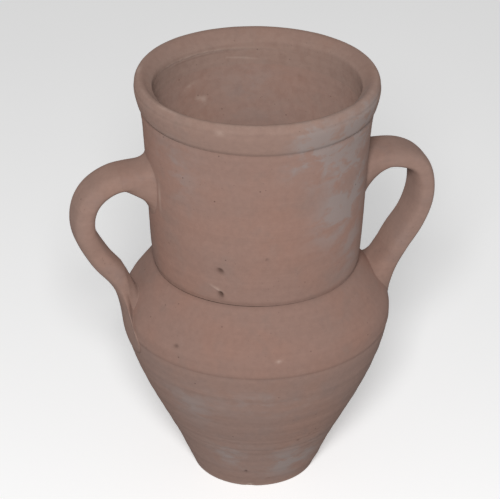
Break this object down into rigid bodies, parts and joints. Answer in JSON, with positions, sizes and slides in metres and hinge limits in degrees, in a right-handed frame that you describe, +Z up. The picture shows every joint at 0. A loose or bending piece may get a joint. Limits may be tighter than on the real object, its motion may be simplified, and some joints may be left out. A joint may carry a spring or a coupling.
{
  "type": "amphora",
  "caption": "Wide-mouthed unglazed earthenware amphora with a tall neck, banded lip, rounded shoulder, tapering body, flat base and two looped strap handles.",
  "frame": {"origin": "centre of the flat base's underside, on the turning axis", "axes": "+Z up along the turning axis, through the mouth; +X towards the right-hand handle, -X towards the left-hand one; +Y towards the back"},
  "size_m": [0.2958, 0.2172, 0.351],
  "materials": {
    "turned_clay": "matte unglazed earthenware, trimmed on the wheel",
    "thrown_clay": "matte unglazed earthenware with throwing rings",
    "lip_clay": "matte unglazed earthenware, sponged smooth",
    "handle_clay": "matte unglazed earthenware, pulled by hand",
    "luting_clay": "matte unglazed earthenware, smeared by hand"
  },
  "bodies": {
    "root": {"lower_body": "turned_clay", "upper_body": "thrown_clay", "neck": "thrown_clay", "lip_band": "lip_clay", "belly_seam_coil": "luting_clay", "neck_seam_coil": "luting_clay", "handle_left": "handle_clay", "handle_right": "handle_clay", "upper_luting_left": "luting_clay", "upper_luting_right": "luting_clay", "lower_luting_left": "luting_clay", "lower_luting_right": "luting_clay"}
  },
  "joints": []
}
